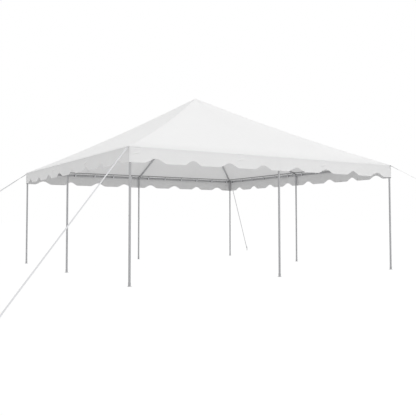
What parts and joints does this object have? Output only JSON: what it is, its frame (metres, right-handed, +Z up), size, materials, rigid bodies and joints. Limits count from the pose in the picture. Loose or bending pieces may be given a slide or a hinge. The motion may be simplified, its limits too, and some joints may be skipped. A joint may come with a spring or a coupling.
{
  "type": "frame marquee tent",
  "caption": "Square frame marquee with a pyramid roof, scalloped valances, tube legs on base plates and taut guy straps to stakes.",
  "frame": {"origin": "on the ground under the peak, at the centre of the square of legs", "axes": "+Z up; -Y is the front side, which the picture shows at the right; +X runs to the front side's right-hand corner"},
  "size_m": [11.57, 11.57, 3.905],
  "materials": {
    "tube_steel": "galvanised, satin",
    "fitting_steel": "galvanised, satin",
    "stake_steel": "satin",
    "vinyl": "smooth coated fabric",
    "webbing": "woven"
  },
  "bodies": {
    "root": {"leg_front_left": "tube_steel", "leg_front_right": "tube_steel", "leg_back_right": "tube_steel", "leg_back_left": "tube_steel", "leg_front_middle": "tube_steel", "leg_right_middle": "tube_steel", "leg_back_middle": "tube_steel", "leg_left_middle": "tube_steel", "corner_fitting_front_left": "fitting_steel", "corner_fitting_front_right": "fitting_steel", "corner_fitting_back_right": "fitting_steel", "corner_fitting_back_left": "fitting_steel", "side_fitting_front": "fitting_steel", "side_fitting_right": "fitting_steel", "side_fitting_back": "fitting_steel", "side_fitting_left": "fitting_steel", "eave_tube_front_a": "tube_steel", "eave_tube_front_b": "tube_steel", "eave_tube_right_a": "tube_steel", "eave_tube_right_b": "tube_steel", "eave_tube_back_a": "tube_steel", "eave_tube_back_b": "tube_steel", "eave_tube_left_a": "tube_steel", "eave_tube_left_b": "tube_steel", "hip_rafter_front_left": "tube_steel", "hip_rafter_front_right": "tube_steel", "hip_rafter_back_right": "tube_steel", "hip_rafter_back_left": "tube_steel", "side_rafter_front": "tube_steel", "side_rafter_right": "tube_steel", "side_rafter_back": "tube_steel", "side_rafter_left": "tube_steel", "crown": "fitting_steel", "canopy_top": "vinyl", "valance_front": "vinyl", "valance_right": "vinyl", "valance_back": "vinyl", "valance_left": "vinyl", "guy_strap_front_left": "webbing", "guy_strap_front_right": "webbing", "guy_strap_back_right": "webbing", "guy_strap_back_left": "webbing", "stake_front_left": "stake_steel", "stake_front_right": "stake_steel", "stake_back_right": "stake_steel", "stake_back_left": "stake_steel"}
  },
  "joints": []
}
